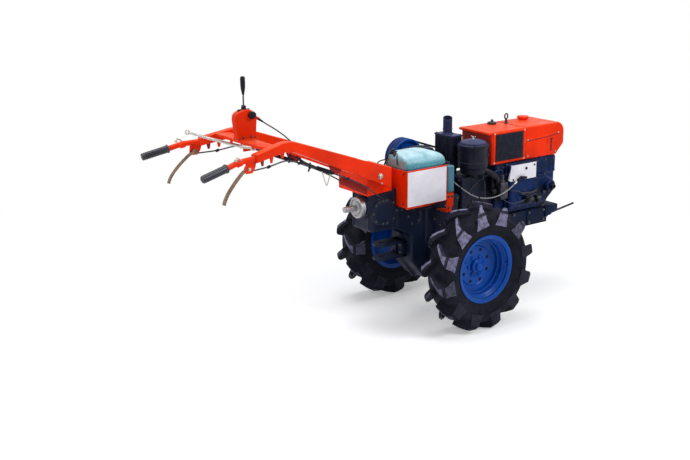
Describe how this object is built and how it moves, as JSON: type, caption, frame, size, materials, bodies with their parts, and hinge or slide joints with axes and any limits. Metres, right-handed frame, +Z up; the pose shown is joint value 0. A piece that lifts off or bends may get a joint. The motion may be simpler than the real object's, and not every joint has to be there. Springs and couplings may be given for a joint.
{
  "type": "two-wheel walking farm tractor",
  "caption": "Walk-behind farm tractor with high-lug tyres, a horizontal diesel engine driving by belts, and long handles with levers.",
  "frame": {"origin": "on the ground, under the middle of the overall box", "axes": "+X forward, from the handle grips to the engine; +Y to the tractor's left; +Z up"},
  "size_m": [2.4212, 0.875, 1.31],
  "materials": {
    "orange_paint": "glossy orange enamel with worn edges",
    "deep_blue_paint": "deep blue machinery enamel",
    "dark_navy_paint": "dark navy machinery enamel, satin",
    "tyre_rubber": "matt field tyre rubber",
    "black_rubber": "moulded black rubber",
    "bare_steel": "bright zinc and bare steel",
    "cast_iron": "dark painted casting",
    "teal_plastic": "teal moulded plastic",
    "black_plastic": "black moulded or heat-blackened, matt",
    "white_paint": "blank white plate"
  },
  "bodies": {
    "chassis": {"hood": "orange_paint", "battery_box": "orange_paint", "battery_bracket": "orange_paint", "left_handle_arm": "orange_paint", "right_handle_arm": "orange_paint", "handle_base": "orange_paint", "cross_brace": "orange_paint", "control_column": "orange_paint", "engine_block": "deep_blue_paint", "gear_case_cover": "deep_blue_paint", "transmission_case": "dark_navy_paint", "pto_case": "dark_navy_paint", "axle_housings": "dark_navy_paint", "engine_frame": "dark_navy_paint", "cylinder_head": "dark_navy_paint", "air_cleaner": "dark_navy_paint", "rear_hitch": "dark_navy_paint", "muffler": "dark_navy_paint", "drive_belts": "black_rubber", "handle_grips": "black_rubber", "throttle_cable": "black_rubber", "adjuster_rod": "bare_steel", "speed_lever": "bare_steel", "injection_pump": "bare_steel", "hood_fittings": "bare_steel", "steering_rods": "bare_steel", "battery": "teal_plastic", "coolant_bottle": "teal_plastic", "radiator_grille": "black_plastic", "exhaust_pipe": "black_plastic", "blank_plates": "white_paint"},
    "left_wheel": {"left_tyre": "tyre_rubber", "left_wheel_rim": "deep_blue_paint", "left_wheel_hub": "deep_blue_paint"},
    "right_wheel": {"right_tyre": "tyre_rubber", "right_wheel_rim": "deep_blue_paint", "right_wheel_hub": "deep_blue_paint"},
    "front_stand_body": {"front_stand": "dark_navy_paint"},
    "flywheel_body": {"flywheel": "cast_iron"},
    "clutch_pulley_body": {"clutch_pulley": "deep_blue_paint"},
    "pto_shaft_body": {"pto_shaft": "bare_steel"},
    "clutch_lever_body": {"clutch_lever": "bare_steel"},
    "shift_lever_body": {"shift_lever": "bare_steel", "shift_knob": "black_plastic"},
    "throttle_knob_body": {"throttle_knob": "black_plastic"},
    "left_turning_lever_body": {"left_turning_lever": "bare_steel"},
    "right_turning_lever_body": {"right_turning_lever": "bare_steel"}
  },
  "joints": [
    {"name": "left_wheel_spin", "type": "hinge", "parent": "chassis", "child": "left_wheel", "pos_m": [0.25, 0.355, 0.315], "axis": [0, 1, 0], "continuous": true},
    {"name": "right_wheel_spin", "type": "hinge", "parent": "chassis", "child": "right_wheel", "pos_m": [0.25, -0.355, 0.315], "axis": [0, 1, 0], "continuous": true},
    {"name": "front_stand_fold", "type": "hinge", "parent": "chassis", "child": "front_stand_body", "pos_m": [0.71, 0, 0.343], "axis": [0, -1, 0], "range_deg": [0, 88]},
    {"name": "flywheel_spin", "type": "hinge", "parent": "chassis", "child": "flywheel_body", "pos_m": [0.8, 0.143, 0.61], "axis": [0, 1, 0], "continuous": true},
    {"name": "pto_shaft_spin", "type": "hinge", "parent": "chassis", "child": "pto_shaft_body", "pos_m": [-0.22, -0.02, 0.625], "axis": [-1, 0, 0], "continuous": true},
    {"name": "clutch_lever_pull", "type": "hinge", "parent": "chassis", "child": "clutch_lever_body", "pos_m": [-0.768, 0.0555, 0.976], "axis": [0, -1, 0], "range_deg": [0, 25]},
    {"name": "shift_lever_swing", "type": "hinge", "parent": "chassis", "child": "shift_lever_body", "pos_m": [-0.838, 0, 1.178], "axis": [0, 1, 0], "range_deg": [-14, 14]},
    {"name": "throttle_knob_turn", "type": "hinge", "parent": "chassis", "child": "throttle_knob_body", "pos_m": [-0.812, -0.029, 1.14], "axis": [0, -1, 0], "range_deg": [-60, 60]},
    {"name": "left_turning_lever_squeeze", "type": "hinge", "parent": "chassis", "child": "left_turning_lever_body", "pos_m": [-0.96734, 0.23422, 0.956], "axis": [0.1495, 0.9888, 0], "range_deg": [0, 22], "stiffness_Nm_per_rad": 0.8, "springref_deg": -8.59},
    {"name": "right_turning_lever_squeeze", "type": "hinge", "parent": "chassis", "child": "right_turning_lever_body", "pos_m": [-0.96734, -0.23422, 0.956], "axis": [-0.1495, 0.9888, 0], "range_deg": [0, 22], "stiffness_Nm_per_rad": 0.8, "springref_deg": -8.59},
    {"name": "clutch_pulley_spin", "type": "hinge", "parent": "chassis", "child": "clutch_pulley_body", "pos_m": [0.23, 0.205, 0.775], "axis": [0, 1, 0], "continuous": true}
  ],
  "couplings": [
    {"joint": "clutch_pulley_spin", "follows": "flywheel_spin", "ratio": 0.7}
  ]
}
